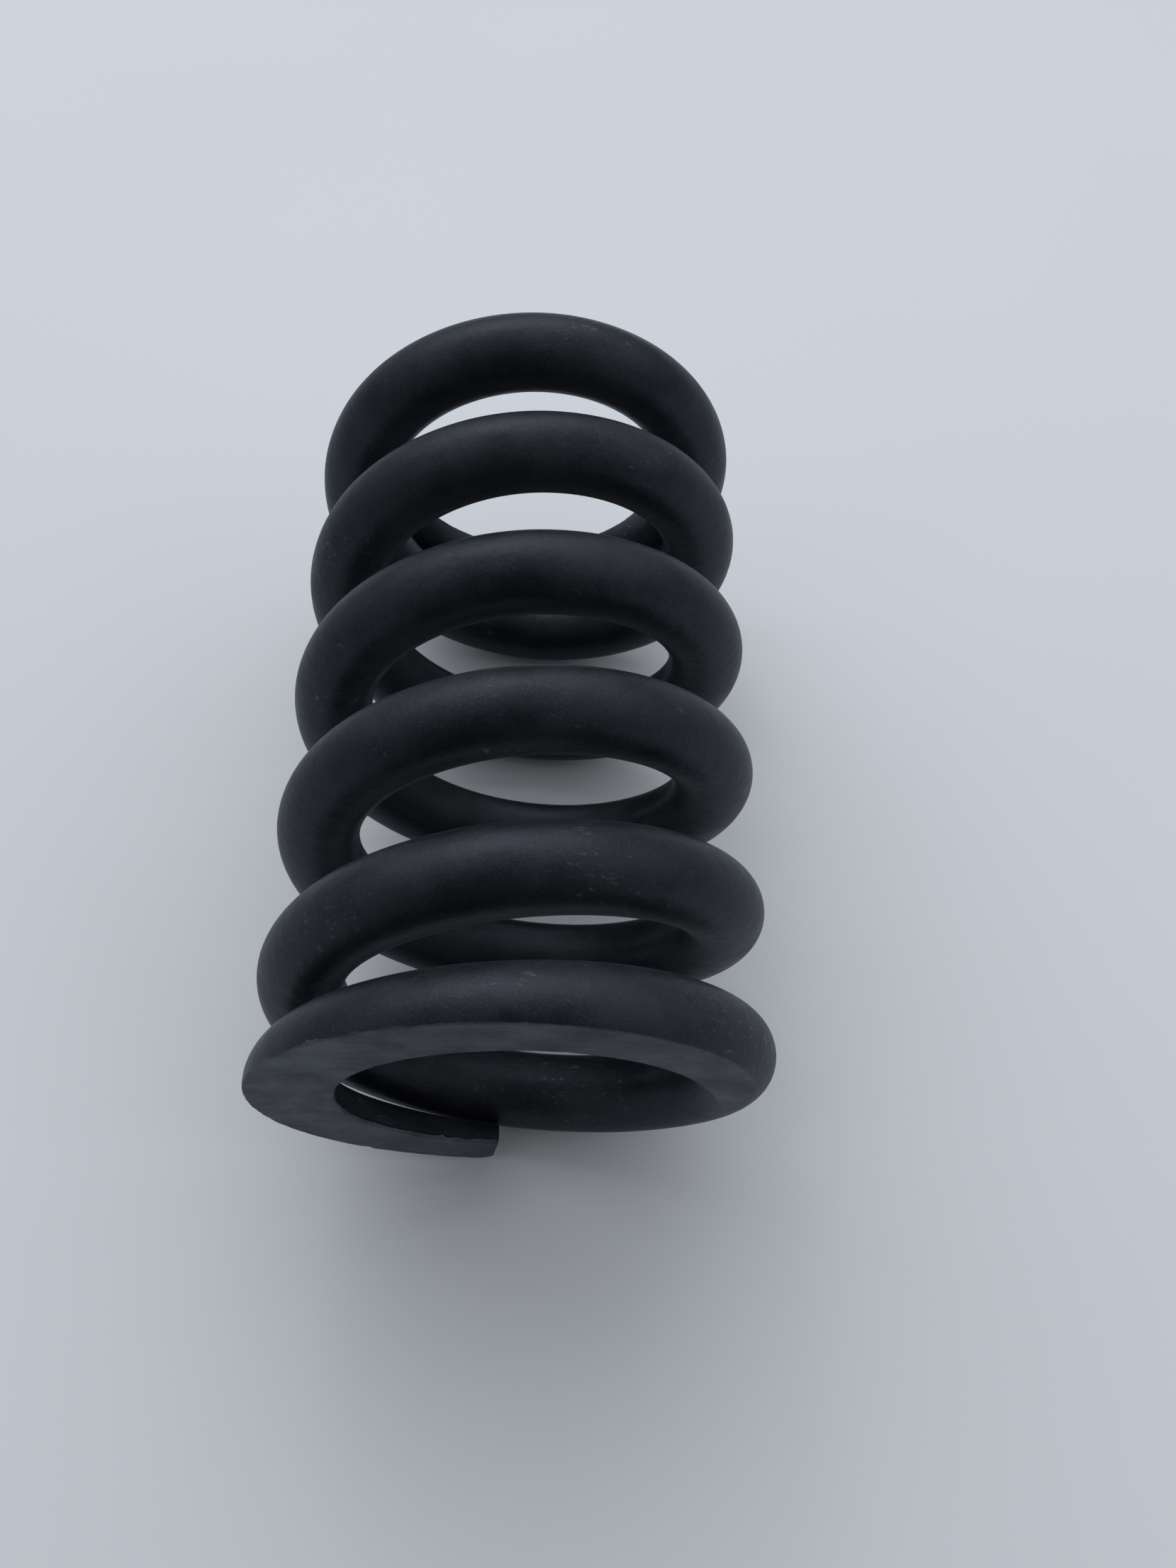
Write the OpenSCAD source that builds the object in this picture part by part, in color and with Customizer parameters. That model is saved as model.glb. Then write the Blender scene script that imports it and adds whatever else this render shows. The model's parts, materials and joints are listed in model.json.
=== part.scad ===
// Compression coil spring with closed and ground ends, wound right-handed.
//
// The spring is one length of round wire. It stands on its lower ground face, with the coil's
// axis on +Z and the origin at the centre of that face. The wire is drawn as a chain of
// eighth-turn stretches. Each one is a flat circular arc, and the next one leaves it along the
// same tangent, a little twisted, which is what raises the coil. Under load a spring wire
// twists about its own centreline, so the stretches can turn on their shared round faces.

/* [Wire and coil] */
// Diameter of the round wire
wire_d = 6; // [5:0.1:6]
// Mean diameter of the coil, from wire centre to wire centre
coil_d = 30; // [28:0.5:36]
// Direction of the lower cut end, in degrees around the axis from +X
cut_end_angle = 99; // [0:1:359]

/* [Length] */
// Free length, from ground face to ground face
free_length = 59.25; // [58:0.25:66]
// Pitch of an end coil before it opens, which lays the tip against the next coil
closed_pitch = 4.75; // [4.75:0.05:5.4]
// Pitch at the tip itself, where the wire turns up to meet the next coil
tip_pitch = 8.5; // [8.5:0.5:10]
// Share of a turn at which an end coil begins to open
closed_turn = 0.5; // [0.45:0.0125:0.5]
// Share of a turn at which the coil has opened to its full pitch
open_turn = 1.1875; // [1.125:0.0125:1.1875]

/* [Ground ends] */
// Thickness of wire left at each ground tip
tip_t = 2; // [1.8:0.1:2.2]

/* [Hidden] */
$fn = 96;
coated = "#22252a";

arcs_per_turn = 8;
coils_between_ends = 34;            // eighth turns of active wire
end_arcs = 8;                       // eighth turns in each end coil
arcs = coils_between_ends + 2 * end_arcs;
turns = arcs / arcs_per_turn;
coil_r = coil_d / 2;
wire_r = wire_d / 2;
first_z = tip_t - wire_r;           // height of the wire's centre at the lower tip
rise = free_length - 2 * first_z;   // height between the wire's two ends
cutter = 4 * coil_d;                // side of the block that grinds an end flat

// Names, from the lower end upwards: eight stretches in each end coil, the rest between them
function stretch_name(k) =
    k < end_arcs ? str("lower_end_coil_", k + 1)
    : k >= arcs - end_arcs ? str("upper_end_coil_", k - (arcs - end_arcs) + 1)
    : str("active_coil_", floor((k - end_arcs) / arcs_per_turn) + 1,
          "_", (k - end_arcs) % arcs_per_turn + 1);

// Coil geometry ---------------------------------------------------------------------------

function unit(v) = v / norm(v);
function total(list) = [for (i = 0, s = 0; i < len(list); s = s + list[i], i = i + 1) s + list[i]]
    [len(list) - 1];

// How open the coil is at joint k, from 0 in a closed end coil to 1 between the ends
function turns_from_end(k) = min(k, arcs - k) / arcs_per_turn;
function opening_part(k) =
    min(max((turns_from_end(k) - closed_turn) / (open_turn - closed_turn), 0), 1);
function openness(k) = pow(opening_part(k), 2) * (3 - 2 * opening_part(k));

// 1 at the two tips and 0 from the next joint on
function at_tip(k) = max(1 - min(k, arcs - k), 0);

// The open pitch is what the free length leaves for the coils between the closed ends
open_turns = total([for (k = [0:arcs - 1]) (openness(k) + openness(k + 1)) / 2 / arcs_per_turn]);
tips_rise = (tip_pitch - closed_pitch) / arcs_per_turn;
open_pitch = closed_pitch + (rise - closed_pitch * turns - tips_rise) / open_turns;

function pitch(k) = closed_pitch
    + (open_pitch - closed_pitch) * openness(k)
    + (tip_pitch - closed_pitch) * at_tip(k);
function step_up(k) = (pitch(k) + pitch(k + 1)) / 2 / arcs_per_turn;
function around(k) = cut_end_angle + 360 * k / arcs_per_turn;

heights = [for (k = 0, z = first_z; k <= arcs; z = z + step_up(k), k = k + 1) z];
joints = [for (k = [0:arcs]) [coil_r * cos(around(k)), coil_r * sin(around(k)), heights[k]]];

// Each arc leaves along the tangent that the arc before it arrived on
function chord(k) = unit(joints[k + 1] - joints[k]);
function leave(arrive, k) = 2 * (arrive * chord(k)) * chord(k) - arrive;
first_slope = atan(tip_pitch / (PI * coil_d));
first_tangent = [
    -cos(first_slope) * sin(cut_end_angle),
    cos(first_slope) * cos(cut_end_angle),
    sin(first_slope)
];
tangents = [
    for (k = 0, t = first_tangent; k <= arcs; t = k < arcs ? leave(t, k) : t, k = k + 1) t
];

// Wire ------------------------------------------------------------------------------------

// One eighth-turn stretch of plain round wire, from joint k to joint k + 1
module wire_arc(k) {
    tangent = tangents[k];
    inward = unit(chord(k) - (chord(k) * tangent) * tangent);
    bend = 2 * acos(tangent * chord(k));
    bend_r = norm(joints[k + 1] - joints[k]) / 2 / sin(bend / 2);
    centre = joints[k] + bend_r * inward;
    up = cross(tangent, inward);
    multmatrix([
        [-inward[0], tangent[0], up[0], centre[0]],
        [-inward[1], tangent[1], up[1], centre[1]],
        [-inward[2], tangent[2], up[2], centre[2]],
        [0, 0, 0, 1]
    ])
        rotate_extrude(angle = bend)
            translate([bend_r, 0])
                circle(r = wire_r);
}

module active_coil_stretch(k) {
    color(coated) wire_arc(k);
}

// Ground flat from below, up to z = 0
module lower_end_stretch(k) {
    color(coated)
        difference() {
            wire_arc(k);
            translate([-cutter / 2, -cutter / 2, -cutter])
                cube(cutter);
        }
}

// Ground flat from above, down to the free length
module upper_end_stretch(k) {
    color(coated)
        difference() {
            wire_arc(k);
            translate([-cutter / 2, -cutter / 2, free_length])
                cube(cutter);
        }
}

for (k = [0:end_arcs - 1])
    lower_end_stretch(k);
for (k = [end_arcs:arcs - end_arcs - 1])
    active_coil_stretch(k);
for (k = [arcs - end_arcs:arcs - 1])
    upper_end_stretch(k);
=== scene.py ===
"""Looks of a compression coil spring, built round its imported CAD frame.

The wire is swept again along the CAD chain of eighth-turn arcs, one closed piece for each body,
with exact normals, a ground face on each end coil with worn edges, and a cut end on each tip.
"""

import json
import math

import bpy
from mathutils import Matrix, Vector, noise


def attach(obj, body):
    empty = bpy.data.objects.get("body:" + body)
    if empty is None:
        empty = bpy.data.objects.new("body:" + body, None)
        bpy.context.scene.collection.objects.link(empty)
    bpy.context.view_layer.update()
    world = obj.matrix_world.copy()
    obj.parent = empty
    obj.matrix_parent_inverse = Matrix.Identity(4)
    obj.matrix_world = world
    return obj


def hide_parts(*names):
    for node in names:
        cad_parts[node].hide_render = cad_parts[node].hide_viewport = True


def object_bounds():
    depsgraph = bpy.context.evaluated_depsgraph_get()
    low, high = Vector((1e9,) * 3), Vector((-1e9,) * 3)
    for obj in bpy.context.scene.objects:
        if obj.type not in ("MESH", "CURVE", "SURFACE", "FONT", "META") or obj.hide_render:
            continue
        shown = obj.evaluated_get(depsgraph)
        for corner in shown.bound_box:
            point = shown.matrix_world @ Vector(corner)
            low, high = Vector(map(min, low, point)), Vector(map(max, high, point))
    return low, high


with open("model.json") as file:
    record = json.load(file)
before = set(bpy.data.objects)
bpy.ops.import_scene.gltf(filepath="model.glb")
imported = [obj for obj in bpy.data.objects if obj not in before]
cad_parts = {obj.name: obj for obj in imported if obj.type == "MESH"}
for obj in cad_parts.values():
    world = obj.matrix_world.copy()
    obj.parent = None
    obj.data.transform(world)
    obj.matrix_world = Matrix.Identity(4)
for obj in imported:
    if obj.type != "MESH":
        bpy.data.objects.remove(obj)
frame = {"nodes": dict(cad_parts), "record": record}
cad_low, cad_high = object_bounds()

# Driving dimensions, in metres and degrees, as in the CAD source ---------------------------

WIRE_R = 0.003
COIL_R = 0.015
CUT_END_ANGLE = math.radians(99)
FREE_LENGTH = cad_high.z
CLOSED_PITCH = 0.00475
TIP_PITCH = 0.0085
CLOSED_TURN = 0.5
OPEN_TURN = 1.1875
TIP_T = 0.002
ARCS_PER_TURN = 8
ARCS = len(frame["nodes"])

# Fineness of the swept mesh and size of its worn details
RINGS_PER_ARC = 28
SIDE_POINTS = 56            # points round the wire, outside the ground zone
ZONE_POINTS = 40            # points across the ground zone
ZONE_SHARES = (0.45, 0.3, 0.25)  # of half the zone's points: flat, rounded edge, side
WIDE_FLAT = 0.001           # half width of flat from which points are placed by those shares
ZONE_MIN = math.radians(16)  # half angle that the zone keeps where the wire isn't ground
EDGE_R = 0.0002             # mean rounding of a ground face's edge
END_EDGE_R = 0.00022        # rounding of the cut end's rim
END_STEPS = 4               # steps round that rim
CORNER_R = 0.0018           # rounding of a tip's outer corner, seen along the axis
CORNER_RINGS = 12           # steps along the wire within that rounding
JOINT_GAP = 0.000001        # each piece stops this short of its hinge, so that no two touch
TABLE_GAP = 0.0002          # between coil and table at rest, as a compressed coil is wider

# Wear along a ground edge, as noise: waves per metre, step from the inner to the outer edge, and
# where the noise starts on the lower and on the upper end
LONG_WAVE = (900, 7.3, 3.1, 11.7)
SHORT_WAVE = (3400, 5.1, 8.7, 2.9)
NICK_WAVE = (2100, 9.1, 1.9, 5.3)
LONG_WEAR = 0.5             # share of EDGE_R that each one adds
SHORT_WEAR = 0.35
NICK_WEAR = 2.2
NICK_FROM = 0.25            # noise above this is a nick

# The photograph's camera: its place in coil radii, and its pitch and roll in radians
CAMERA_PLACE = Vector((0.3496, -5.4669, -1.3716))
CAMERA_PITCH = 0.5066
CAMERA_ROLL = -0.0063
CAMERA_LENS = 27.486
CAMERA_SENSOR = 36
CAMERA_CLIP = 0.002

# The camera's own body, which the coating reflects, in metres
BODY_WIDTH = 0.075
BODY_ABOVE = 0.012          # reach above the lens
BODY_BELOW = 0.14           # reach below the lens
BODY_BEHIND = 0.004         # how far behind the lens its front lies
BODY_COLOUR = (0.01, 0.01, 0.01)

# The table, and the floor for views from above
STAGE_SIZE = 3
STAGE_COLOUR = (0.78, 0.81, 0.84)

# Soft light from overhead, which is -Y here: brightest beyond the far end, dim behind the camera
WORLD_FAR = 1.6
WORLD_NEAR = 0.35
WORLD_RIGHT = 0.7
WORLD_LEFT = 0.1
WORLD_DARK = 0.16
WORLD_COLOUR = (0.93, 0.96, 1, 1)
BACKDROP_COLOUR = (0.5, 0.54, 0.59, 1)

# Where each part of that light begins and is in full, as the direction's share along one axis
OVERHEAD_Y = (-0.1, -0.65)
FAR_Z = (0.05, 0.55)
NEAR_Z = (-0.9, -0.2)
RIGHT_X = (0.4, 1)
LEFT_X = (-0.4, -1)
FADE_RIGHT_X = (0.15, 0.7)  # the light beyond the far end fades to FADED towards both sides
FADE_LEFT_X = (-0.35, -0.9)
FADED = 0.25

# A small lamp beyond the coil's far end, on the side away from the table
WINDOW_PLACE = (-0.1, -0.44, 0.44)
WINDOW_SIZE = 0.1
WINDOW_POWER = 0.12
WINDOW_COLOUR = (0.96, 0.98, 1)

# The wire's surface, with colours as linear red, green and blue
WIRE_IOR = 1.4
WIRE_METALLIC = 0.5
WIRE_SHEEN = (0.64, 0.68, 0.74, 1)
COAT_DARK = (0.0185, 0.0205, 0.027)
COAT_PALE = (0.031, 0.034, 0.0425)
COAT_GRAIN = (0.06, 0.066, 0.078)
# Pale scuff colour: partly real wear on the coating, partly a painted glint of light
COAT_SCUFF_AND_GLINT = (0.11, 0.117, 0.13)
GROUND_DARK = (0.05, 0.056, 0.068)
GROUND_PALE = (0.095, 0.103, 0.118)
GROUND_LINE = (0.12, 0.128, 0.142)
GROUND_SPECK = (0.02, 0.023, 0.029)


# Coil geometry ------------------------------------------------------------------------------


def openness(k):
    """How open the coil is at arc joint k: 0 in a closed end coil, 1 between the ends."""
    turns_from_end = min(k, ARCS - k) / ARCS_PER_TURN
    part = min(max((turns_from_end - CLOSED_TURN) / (OPEN_TURN - CLOSED_TURN), 0), 1)
    return part * part * (3 - 2 * part)


def chain():
    """Joints between the arcs, and the wire's tangent at each."""
    first_z = TIP_T - WIRE_R
    rise = FREE_LENGTH - 2 * first_z
    turns = ARCS / ARCS_PER_TURN
    open_turns = sum((openness(k) + openness(k + 1)) / 2 / ARCS_PER_TURN for k in range(ARCS))
    tips_rise = (TIP_PITCH - CLOSED_PITCH) / ARCS_PER_TURN
    open_pitch = CLOSED_PITCH + (rise - CLOSED_PITCH * turns - tips_rise) / open_turns
    pitches = [CLOSED_PITCH + (open_pitch - CLOSED_PITCH) * openness(k) for k in range(ARCS + 1)]
    pitches[0] = pitches[-1] = TIP_PITCH
    z = first_z
    joints = []
    for k in range(ARCS + 1):
        around = CUT_END_ANGLE + 2 * math.pi * k / ARCS_PER_TURN
        joints.append(Vector((COIL_R * math.cos(around), COIL_R * math.sin(around), z)))
        if k < ARCS:
            z += (pitches[k] + pitches[k + 1]) / 2 / ARCS_PER_TURN
    slope = math.atan(TIP_PITCH / (2 * math.pi * COIL_R))
    tangents = [
        Vector((
            -math.cos(slope) * math.sin(CUT_END_ANGLE),
            math.cos(slope) * math.cos(CUT_END_ANGLE),
            math.sin(slope),
        ))
    ]
    for k in range(ARCS):
        chord = (joints[k + 1] - joints[k]).normalized()
        tangents.append(2 * tangents[k].dot(chord) * chord - tangents[k])
    return joints, tangents


JOINTS, TANGENTS = chain()
ARC_LENGTH = 2 * math.pi * COIL_R / ARCS_PER_TURN


def on_wire(k, share):
    """Centre and tangent of the wire at a share of the way along arc k."""
    tangent = TANGENTS[k]
    span = JOINTS[k + 1] - JOINTS[k]
    chord = span.normalized()
    inward = (chord - chord.dot(tangent) * tangent).normalized()
    bend = 2 * math.acos(min(1, tangent.dot(chord)))
    bend_r = span.length / 2 / math.sin(bend / 2)
    turned = bend * share
    centre = JOINTS[k] + bend_r * (math.sin(turned) * tangent + (1 - math.cos(turned)) * inward)
    return centre, math.cos(turned) * tangent + math.sin(turned) * inward


# Cross-section ------------------------------------------------------------------------------
# A section is a list of (x, y, normal x, normal y, part), clockwise seen from ahead: x points
# out from the coil's axis, y points away from the ground plane, and part is "coat" or "ground".


def smoothstep(x):
    """0 up to x = 0, 1 from x = 1, and a smooth rise between."""
    x = min(max(x, 0), 1)
    return x * x * (3 - 2 * x)


def zone_curve(height, edge_r):
    """Half of the ground zone, from the middle of the ground face outwards.

    height is the wire centre's height above the ground plane. Returns the half zone's pieces as
    (length, function of the distance along it), the angle on the wire where the zone ends, and
    half the width of the flat.
    """
    if height >= WIRE_R:
        flat, met = 0, 0
    else:
        rise = edge_r - height
        flat = math.sqrt(max((WIRE_R - edge_r) ** 2 - rise * rise, 0))
        met = math.atan2(flat, -rise)  # where the wire meets the rounded edge, from straight down
    end = max(ZONE_MIN, met)

    def flat_point(s):
        return s, -min(height, WIRE_R), 0, -1, "ground"

    def round_point(s):
        a = s / edge_r
        nx, ny = math.sin(a), -math.cos(a)
        return flat + edge_r * nx, edge_r - height + edge_r * ny, nx, ny, "ground"

    def side_point(s):
        a = met + s / WIRE_R
        return WIRE_R * math.sin(a), -WIRE_R * math.cos(a), math.sin(a), -math.cos(a), "coat"

    pieces = [
        (flat, flat_point),
        (met * edge_r, round_point),
        ((end - met) * WIRE_R, side_point),
    ]
    return pieces, end, flat


def along_zone(pieces, s):
    """The point at distance s along a half zone."""
    for length, point in pieces[:-1]:
        if s < length:
            return point(s)
        s -= length
    return pieces[-1][1](min(s, pieces[-1][0]))


def section(height, edge_in, edge_out):
    """The whole outline: the zone from its inner to its outer end, then round over the top."""
    outline = []
    half = ZONE_POINTS // 2
    ends = []
    for side, edge_r in ((-1, edge_in), (1, edge_out)):
        pieces, end, flat = zone_curve(height, edge_r)
        ends.append(end)
        total = sum(length for length, _ in pieces)
        even = 1 - smoothstep(flat / WIDE_FLAT)
        points = []
        for i in range(half + 1):
            u = i / half
            placed, left = 0, u
            for (length, _), share in zip(pieces, ZONE_SHARES):
                placed += length * min(left / share, 1)
                left = max(left - share, 0)
            s = even * u * total + (1 - even) * placed
            x, y, nx, ny, part = along_zone(pieces, min(s, total))
            points.append((side * x, y, side * nx, ny, part))
        outline.extend(reversed(points) if side < 0 else points[1:])
    start, stop = -math.pi / 2 + ends[1], 1.5 * math.pi - ends[0]
    for i in range(1, SIDE_POINTS):
        a = start + (stop - start) * i / SIDE_POINTS
        nx, ny = math.cos(a), math.sin(a)
        outline.append((WIRE_R * nx, WIRE_R * ny, nx, ny, "coat"))
    return outline


# Sweep --------------------------------------------------------------------------------------


def wave(kind, distance, side, upper):
    """Noise of one kind at a distance along the wire. side is 0 for the inner edge, else 1."""
    per_metre, side_step, lower_start, upper_start = kind
    start = upper_start if upper else lower_start
    return noise.noise(Vector((distance * per_metre, side * side_step, start)))


def worn(distance, side, upper):
    """Rounding of a ground edge at a distance along the wire: uneven, as grinding leaves it."""
    long = wave(LONG_WAVE, distance, side, upper)
    short = wave(SHORT_WAVE, distance, side, upper)
    nick = max(0, wave(NICK_WAVE, distance, side, upper) - NICK_FROM)
    return EDGE_R * (1 + LONG_WEAR * long + SHORT_WEAR * short + NICK_WEAR * nick)


def corner(from_tip, height):
    """How far out a tip's ground corner leaves the wire, and how far its side turns to the end."""
    short = 1 - from_tip / CORNER_R
    if short <= 0:
        return WIRE_R, 0
    widest = math.sqrt(WIRE_R ** 2 - min(height, 0) ** 2)
    return widest - CORNER_R * (1 - math.sqrt(1 - short * short)), math.asin(short)


def ring(k, share, ground, inset=0, shift=0):
    """One ring of points, normals and parts. ground is "lower", "upper" or None."""
    centre, tangent = on_wire(k, share)
    out = tangent.cross(Vector((0, 0, 1))).normalized()
    up = out.cross(tangent)
    upper = ground == "upper"
    if upper:
        height = (FREE_LENGTH - centre.z) / up.z
    elif ground == "lower":
        height = centre.z / up.z
    else:
        height = WIRE_R  # just clear of a ground plane
    distance = (k + share) * ARC_LENGTH
    outline = section(height, worn(distance, 0, upper), worn(distance, 1, upper))
    away = -up if upper else up
    end_way = tangent if upper else -tangent
    from_tip = ARCS * ARC_LENGTH - distance if upper else distance
    limit, tilt = corner(from_tip, height) if ground else (WIRE_R, 0)
    points, normals, parts = [], [], []
    for x, y, nx, ny, part in outline:
        normal = out * nx + away * ny
        if x > limit:
            x = limit
            normal = out * math.cos(tilt) + end_way * math.sin(tilt)
        points.append(centre + out * x + away * y - normal * inset + tangent * shift)
        normals.append(normal)
        parts.append(part)
    if upper:
        points, normals, parts = points[::-1], normals[::-1], parts[::-1]
    return points, normals, parts, tangent


def swept(name, first, last, ground):
    """A closed piece of wire from arc joint first to arc joint last, with exact normals."""
    stations = [(k, i / RINGS_PER_ARC) for k in range(first, last) for i in range(RINGS_PER_ARC)]
    stations.append((last - 1, 1))
    fine = [CORNER_R / ARC_LENGTH * (i / CORNER_RINGS) ** 1.5 for i in range(CORNER_RINGS + 1)]
    if ground == "lower":
        later = [s for s in stations if s > (first, fine[-1])]
        stations = [(first, share) for share in fine] + later
    if ground == "upper":
        late = [(last - 1, 1 - share) for share in reversed(fine)]
        stations = [s for s in stations if s < late[0]] + late
    rings = [ring(k, share, ground) for k, share in stations]
    if ground == "lower":
        rings = cut_end(stations[0], ground, -1)[::-1] + rings[1:]
    else:
        rings[0] = ring(*stations[0], ground, shift=JOINT_GAP)
    if ground == "upper":
        rings = rings[:-1] + cut_end(stations[-1], ground, 1)
    else:
        rings[-1] = ring(*stations[-1], ground, shift=-JOINT_GAP)

    n = len(rings[0][0])
    vertices = [p for r in rings for p in r[0]]
    faces, loops, slots = [], [], []
    for i in range(len(rings) - 1):
        for j in range(n):
            corners = ((i, j), (i + 1, j), (i + 1, (j + 1) % n), (i, (j + 1) % n))
            faces.append([a * n + b for a, b in corners])
            loops.extend(rings[a][1][b] for a, b in corners)
            slots.append(int(all(rings[a][2][b] == "ground" for a, b in corners)))
    for i, sign in ((0, -1), (len(rings) - 1, 1)):
        cap = [i * n + j for j in range(n)]
        faces.append(cap if sign < 0 else cap[::-1])
        loops.extend([rings[i][3] * sign] * n)
        slots.append(0)

    mesh = bpy.data.meshes.new(name)
    mesh.from_pydata(vertices, [], faces)
    mesh.polygons.foreach_set("use_smooth", [True] * len(faces))
    mesh.polygons.foreach_set("material_index", slots)
    mesh.normals_split_custom_set(loops)
    mesh.update()
    piece = bpy.data.objects.new(name, mesh)
    bpy.context.scene.collection.objects.link(piece)
    return piece


def cut_end(station, ground, sign):
    """Rings that round the rim of a cut end, from the wire inwards to the end face."""
    rows = []
    for i in range(END_STEPS + 1):
        a = math.pi / 2 * i / END_STEPS
        inset = END_EDGE_R * (1 - math.cos(a))
        shift = sign * END_EDGE_R * (math.sin(a) - 1)
        points, normals, parts, tangent = ring(*station, ground, inset, shift)
        normals = [v * math.cos(a) + tangent * sign * math.sin(a) for v in normals]
        rows.append((points, normals, parts, tangent))
    return rows


# Materials ----------------------------------------------------------------------------------


class Nodes:
    """A cleared node tree, with short calls to add and link nodes."""

    def __init__(self, tree):
        self.tree = tree
        tree.nodes.clear()

    def add(self, kind, values=(), links=(), **settings):
        node = self.tree.nodes.new(kind)
        for key, value in settings.items():
            setattr(node, key, value)
        for socket, value in dict(values).items():
            node.inputs[socket].default_value = value
        for socket, source in dict(links).items():
            self.tree.links.new(source, node.inputs[socket])
        return node

    def place(self):
        return self.add("ShaderNodeTexCoord").outputs["Object"]

    def stretch(self, scale):
        return self.add("ShaderNodeMapping", {"Scale": scale}, {"Vector": self.place()}).outputs[0]

    def noise(self, scale, detail=3.0, roughness=0.55, vector=None):
        values = {"Scale": scale, "Detail": detail, "Roughness": roughness}
        links = {"Vector": vector or self.place()}
        return self.add("ShaderNodeTexNoise", values, links).outputs["Fac"]

    def level(self, source, low, high, to_low, to_high, soft=False, clamp=True):
        values = {"From Min": low, "From Max": high, "To Min": to_low, "To Max": to_high}
        kind = "SMOOTHSTEP" if soft else "LINEAR"
        node = self.add(
            "ShaderNodeMapRange", values, {"Value": source}, interpolation_type=kind, clamp=clamp
        )
        return node.outputs["Result"]

    def ramp(self, source, low, high, low_colour, high_colour):
        node = self.add("ShaderNodeValToRGB", links={"Fac": source})
        stops = node.color_ramp.elements
        stops[0].position, stops[1].position = low, high
        stops[0].color, stops[1].color = (*low_colour, 1), (*high_colour, 1)
        return node.outputs["Color"]

    def mix(self, factor, under, over):
        """The colour socket under, covered by the plain colour over as far as factor says."""
        node = self.add("ShaderNodeMix", data_type="RGBA")
        colours = {i.name: i for i in node.inputs if i.type == "RGBA"}
        self.tree.links.new(factor, node.inputs["Factor"])
        self.tree.links.new(under, colours["A"])
        colours["B"].default_value = (*over, 1)
        return next(o for o in node.outputs if o.type == "RGBA")

    def bump(self, source, distance, under=None):
        links = {"Height": source}
        if under is not None:
            links["Normal"] = under
        return self.add("ShaderNodeBump", {"Distance": distance}, links).outputs["Normal"]


def new_material(name):
    material = bpy.data.materials.new(name)
    material.use_nodes = True
    return material, Nodes(material.node_tree)


def wire_surface(name, draw):
    """A material whose colour, roughness and normal sockets come from draw."""
    material, m = new_material(name)
    colour, rough, normal = draw(m)
    shader = m.add(
        "ShaderNodeBsdfPrincipled",
        {"IOR": WIRE_IOR, "Metallic": WIRE_METALLIC, "Specular Tint": WIRE_SHEEN},
        {"Base Color": colour, "Roughness": rough, "Normal": normal},
    )
    m.add("ShaderNodeOutputMaterial", links={"Surface": shader.outputs[0]})
    return material


def draw_coat(m):
    """Blue-black satin coating over steel: clouded, finely grained, with small pale scuffs that
    are partly real wear and partly painted glints of light.
    """
    cloud = m.noise(170, 5, 0.6)
    patch = m.noise(90, 2)
    grain = m.noise(6500, 2)
    peel = m.noise(900, 3)
    streak = m.noise(1500, 5, 0.75, m.stretch((0.6, 0.6, 2)))
    glint_and_wear_patch = m.level(patch, 0.5, 0.62, 0, 1)
    threshold = m.level(glint_and_wear_patch, 0, 1, -0.09, 0)
    raised = m.add("ShaderNodeMath", links={0: streak, 1: threshold}, operation="ADD").outputs[0]
    # Mask of the pale scuffs: partly real wear, partly painted glints where the lamp would shine
    scuff_and_glint = m.level(raised, 0.58, 0.66, 0, 1)
    deep = m.ramp(cloud, 0.38, 0.62, COAT_DARK, COAT_PALE)
    grained = m.mix(m.level(grain, 0.56, 0.7, 0, 0.4), deep, COAT_GRAIN)
    colour = m.mix(m.level(scuff_and_glint, 0, 1, 0, 0.75), grained, COAT_SCUFF_AND_GLINT)
    rough = m.level(cloud, 0.35, 0.65, 0.36, 0.5)
    return colour, rough, m.bump(grain, 0.000018, m.bump(peel, 0.00006))


def draw_ground(m):
    """The ground face: flat and matte, clouded dark grey with dark specks."""
    cloud = m.noise(240, 6, 0.62)
    speck = m.noise(3800, 3, 0.6)
    lines = m.noise(900, 4, 0.6, m.stretch((0.3, 1.4, 1)))
    base = m.ramp(cloud, 0.36, 0.64, GROUND_DARK, GROUND_PALE)
    lined = m.mix(m.level(lines, 0.5, 0.7, 0, 0.35), base, GROUND_LINE)
    colour = m.mix(m.level(speck, 0.62, 0.72, 0, 0.7), lined, GROUND_SPECK)
    rough = m.level(cloud, 0.35, 0.65, 0.62, 0.5)
    return colour, rough, m.bump(speck, 0.00002, m.bump(lines, 0.00003))


# Spring -------------------------------------------------------------------------------------


def node_index(name):
    """Number of a CAD node's eighth-turn stretch, counted from the lower tip."""
    group, number = name.rsplit("_", 1)
    if group == "lower_end_coil":
        return int(number) - 1
    if group == "upper_end_coil":
        return ARCS - ARCS_PER_TURN + int(number) - 1
    return ARCS_PER_TURN * int(group.rsplit("_", 1)[1]) + int(number) - 1


def build_spring():
    coated = wire_surface("coated_wire", draw_coat)
    ground = wire_surface("ground_end", draw_ground)
    for body, nodes in frame["record"]["behaviour"]["bodies"].items():
        arcs = sorted(node_index(n) for n in nodes)
        end = {"lower_end_coil": "lower", "upper_end_coil": "upper"}.get(body)
        piece = swept("wire_" + body, arcs[0], arcs[-1] + 1, end)
        piece.data.materials.append(coated)
        if end:
            piece.data.materials.append(ground)
        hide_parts(*nodes)
        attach(piece, body)


# Stage: the table that the spring lies on in the main view, and a floor for views from above ---


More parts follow.
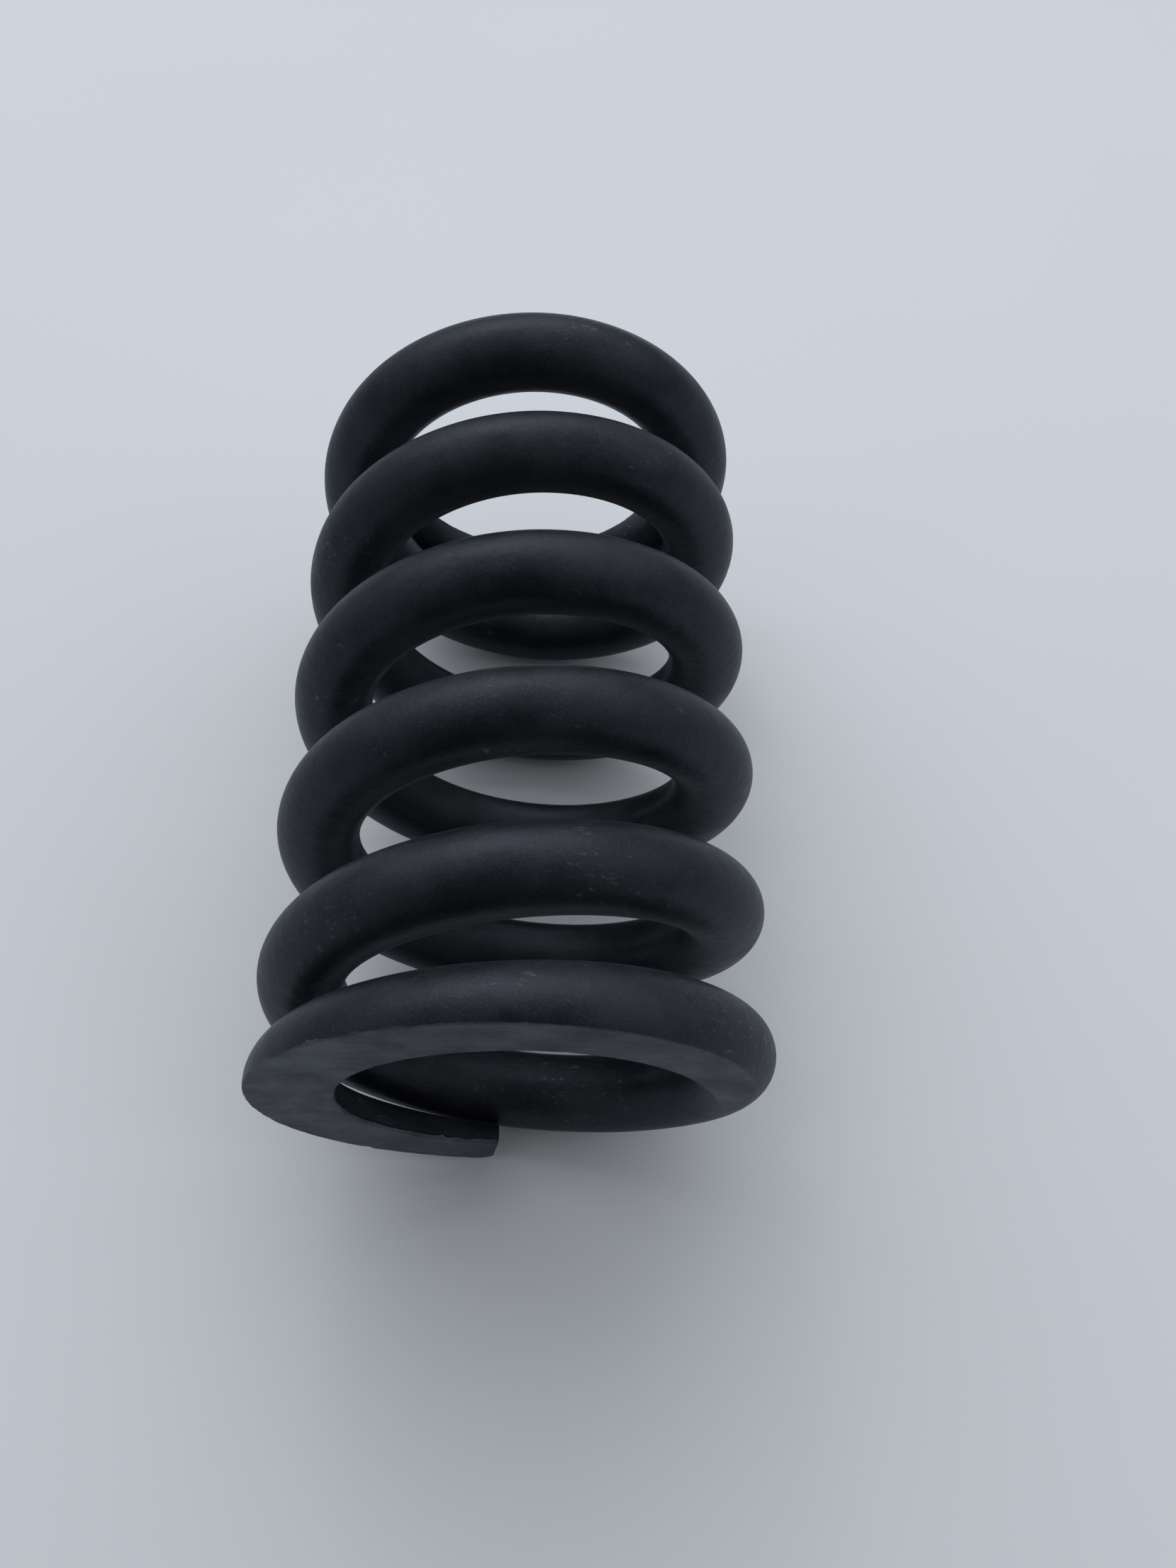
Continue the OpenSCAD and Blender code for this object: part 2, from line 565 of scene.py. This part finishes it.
def one_sided(name, colour):
    """A matte pale surface that is seen only from the side that its normal points to."""
    material, m = new_material(name)
    cloud = m.noise(9, 3)
    tint = m.ramp(cloud, 0.3, 0.7, tuple(c * 0.97 for c in colour), colour)
    matte = m.add("ShaderNodeBsdfPrincipled", {"Roughness": 0.6}, {"Base Color": tint})
    clear = m.add("ShaderNodeBsdfTransparent")
    back = m.add("ShaderNodeNewGeometry").outputs["Backfacing"]
    both = m.add("ShaderNodeMixShader", links={0: back, 1: matte.outputs[0], 2: clear.outputs[0]})
    m.add("ShaderNodeOutputMaterial", links={"Surface": both.outputs[0]})
    return material


def stage_plane(name, centre, across, along, colour):
    """A large plane whose normal is across x along."""
    mesh = bpy.data.meshes.new(name)
    corners = [centre + across * a + along * b for a, b in ((-1, -1), (1, -1), (1, 1), (-1, 1))]
    mesh.from_pydata(corners, [], [(0, 1, 2, 3)])
    plane = bpy.data.objects.new(name, mesh)
    bpy.context.scene.collection.objects.link(plane)
    mesh.materials.append(one_sided(name, colour))
    return plane


def camera_axes():
    """The photograph's camera: where it stands, and its right, up and forward directions."""
    forward = Vector((0, math.cos(CAMERA_PITCH), math.sin(CAMERA_PITCH)))
    level = Vector((1, 0, 0))
    rise = level.cross(forward)
    right = level * math.cos(CAMERA_ROLL) + rise * math.sin(CAMERA_ROLL)
    return CAMERA_PLACE * COIL_R, right, right.cross(forward), forward


def build_stage():
    table_y = cad_high.y + TABLE_GAP
    across = Vector((STAGE_SIZE, 0, 0))
    upright = Vector((0, 0, STAGE_SIZE))
    level = Vector((0, STAGE_SIZE, 0))
    stage_plane("table", Vector((0, table_y, 0)), across, upright, STAGE_COLOUR)
    floor = stage_plane("floor", Vector((0, table_y - STAGE_SIZE, 0)), across, level, STAGE_COLOUR)
    floor.visible_shadow = False
    floor.visible_diffuse = False
    floor.visible_glossy = False
    floor.visible_transmission = False

    place, right, up, forward = camera_axes()
    centre = place - forward * BODY_BEHIND + up * (BODY_ABOVE - BODY_BELOW) / 2
    half_width = right * BODY_WIDTH / -2
    half_height = up * (BODY_ABOVE + BODY_BELOW) / 2
    body = stage_plane("camera_body", centre, half_width, half_height, BODY_COLOUR)
    body.visible_camera = False


# Camera and light ---------------------------------------------------------------------------


def build_camera():
    """The photograph's view: below and in front of the coil, looking up along it."""
    data = bpy.data.cameras.new("camera")
    camera = bpy.data.objects.new("camera", data)
    bpy.context.scene.collection.objects.link(camera)
    bpy.context.scene.camera = camera
    camera.location, right, up, forward = camera_axes()
    camera.rotation_euler = Matrix((right, up, -forward)).transposed().to_euler()
    data.sensor_width = CAMERA_SENSOR
    data.lens = CAMERA_LENS
    data.clip_start = CAMERA_CLIP


def build_window():
    """The lamp, aimed at the middle of the coil."""
    data = bpy.data.lights.new("window", "AREA")
    data.shape = "RECTANGLE"
    data.size, data.size_y = WINDOW_SIZE, WINDOW_SIZE
    data.energy = WINDOW_POWER
    data.color = WINDOW_COLOUR
    light = bpy.data.objects.new("window", data)
    bpy.context.scene.collection.objects.link(light)
    light.location = WINDOW_PLACE
    aim = Vector((0, 0, FREE_LENGTH / 2)) - Vector(WINDOW_PLACE)
    light.rotation_euler = aim.to_track_quat("-Z", "Y").to_euler()


def soft_world():
    """Room light by direction; the camera itself sees a plain backdrop."""
    world = bpy.data.worlds.new("studio")
    bpy.context.scene.world = world
    world.use_nodes = True
    w = Nodes(world.node_tree)

    def combine(operation, a, b):
        return w.add("ShaderNodeMath", links={0: a, 1: b}, operation=operation).outputs[0]

    way = w.add("ShaderNodeTexCoord").outputs["Generated"]
    x, y, z = w.add("ShaderNodeSeparateXYZ", links={0: way}).outputs
    overhead = w.level(y, *OVERHEAD_Y, 0, 1, soft=True)
    far = w.level(z, *FAR_Z, 0, WORLD_FAR, soft=True)
    fade_right = w.level(x, *FADE_RIGHT_X, 1, FADED, soft=True)
    fade_left = w.level(x, *FADE_LEFT_X, 1, FADED, soft=True)
    middle = combine("MINIMUM", fade_right, fade_left)
    near = w.level(z, *NEAR_Z, 0, WORLD_NEAR, soft=True)
    right = w.level(x, *RIGHT_X, 0, WORLD_RIGHT, soft=True)
    left = w.level(x, *LEFT_X, 0, WORLD_LEFT, soft=True)
    lit = combine("MULTIPLY", far, middle)
    for more in (near, right, left):
        lit = combine("ADD", lit, more)
    from_above = combine("MULTIPLY", lit, overhead)
    level = w.level(from_above, 0, 1, WORLD_DARK, 1 + WORLD_DARK, clamp=False)
    light = w.add("ShaderNodeBackground", {"Color": WORLD_COLOUR}, {"Strength": level})
    seen = w.add("ShaderNodeBackground", {"Color": BACKDROP_COLOUR})
    camera_ray = w.add("ShaderNodeLightPath").outputs["Is Camera Ray"]
    links = {0: camera_ray, 1: light.outputs[0], 2: seen.outputs[0]}
    both = w.add("ShaderNodeMixShader", links=links)
    w.add("ShaderNodeOutputWorld", links={"Surface": both.outputs[0]})


def build_light():
    soft_world()
    build_window()
    bpy.context.scene.view_settings.view_transform = "Standard"


build_camera()
build_light()
build_stage()
build_spring()
